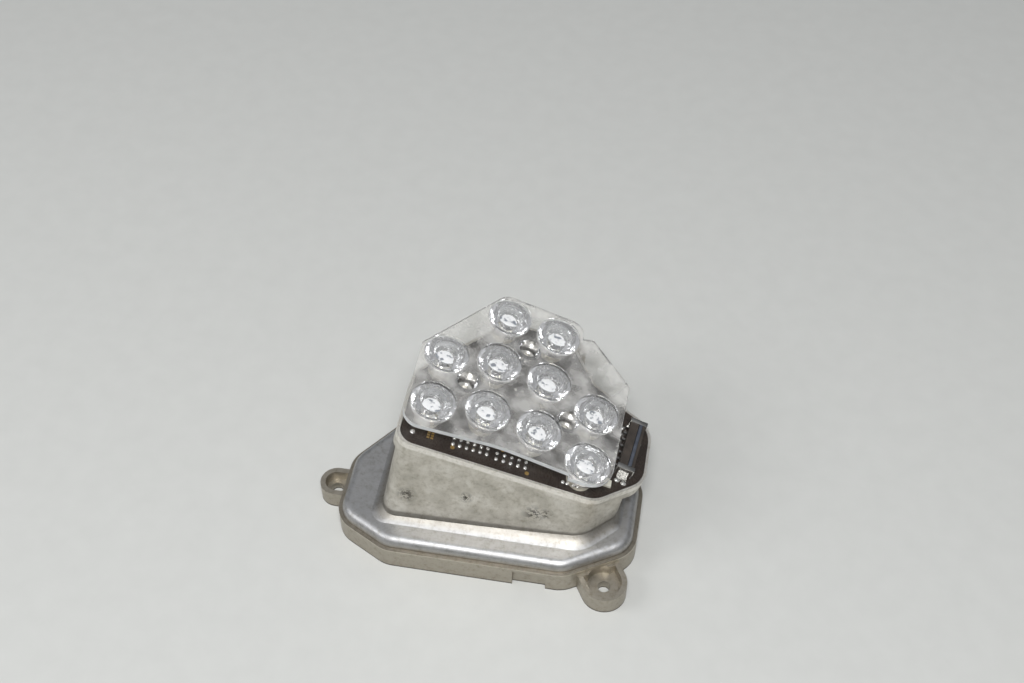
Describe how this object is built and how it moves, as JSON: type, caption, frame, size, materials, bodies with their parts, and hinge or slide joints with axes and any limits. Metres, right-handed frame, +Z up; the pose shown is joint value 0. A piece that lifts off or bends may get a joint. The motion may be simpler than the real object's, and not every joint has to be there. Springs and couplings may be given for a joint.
{
  "type": "led light module",
  "caption": "Lamp LED module: die-cast heat sink with a sloping tower, circuit board with LEDs, and a clear plate of collimator lenses screwed over them.",
  "frame": {"origin": "centre of the circle of fixing holes, in the plane of the flange's seat", "axes": "+Z up from the seat, +X along the flange's front edge towards the connector, +Y to the back"},
  "size_m": [0.0948, 0.0943, 0.0503],
  "materials": {
    "casting": "satin",
    "laminate": "matte",
    "clear_plastic": "gloss",
    "led_ceramic": "satin",
    "screw_steel": "satin",
    "connector_plastic": "satin",
    "tinned_metal": "satin",
    "chip_ceramic": "satin",
    "chip_white": "satin"
  },
  "bodies": {
    "root": {"capacitor_1": "chip_ceramic", "capacitor_2": "chip_ceramic", "connector_anchor_1": "tinned_metal", "connector_anchor_2": "tinned_metal", "connector_housing": "connector_plastic", "contact_1": "tinned_metal", "contact_2": "tinned_metal", "contact_3": "tinned_metal", "contact_4": "tinned_metal", "contact_5": "tinned_metal", "contact_6": "tinned_metal", "contact_7": "tinned_metal", "heat_sink_housing": "casting", "led_01": "led_ceramic", "led_02": "led_ceramic", "led_03": "led_ceramic", "led_04": "led_ceramic", "led_05": "led_ceramic", "led_06": "led_ceramic", "led_07": "led_ceramic", "led_08": "led_ceramic", "led_09": "led_ceramic", "led_10": "led_ceramic", "led_board": "laminate", "lens_array": "clear_plastic", "lens_screw_1": "screw_steel", "lens_screw_2": "screw_steel", "lens_screw_3": "screw_steel", "resistor_01": "chip_ceramic", "resistor_02": "chip_ceramic", "resistor_03": "chip_ceramic", "resistor_04": "chip_ceramic", "resistor_05": "chip_ceramic", "resistor_06": "chip_ceramic", "resistor_07": "chip_ceramic", "resistor_08": "chip_ceramic", "resistor_09": "chip_ceramic", "resistor_10": "chip_ceramic", "resistor_11": "chip_ceramic", "square_chip": "chip_white", "thermistor": "chip_ceramic"}
  },
  "joints": []
}
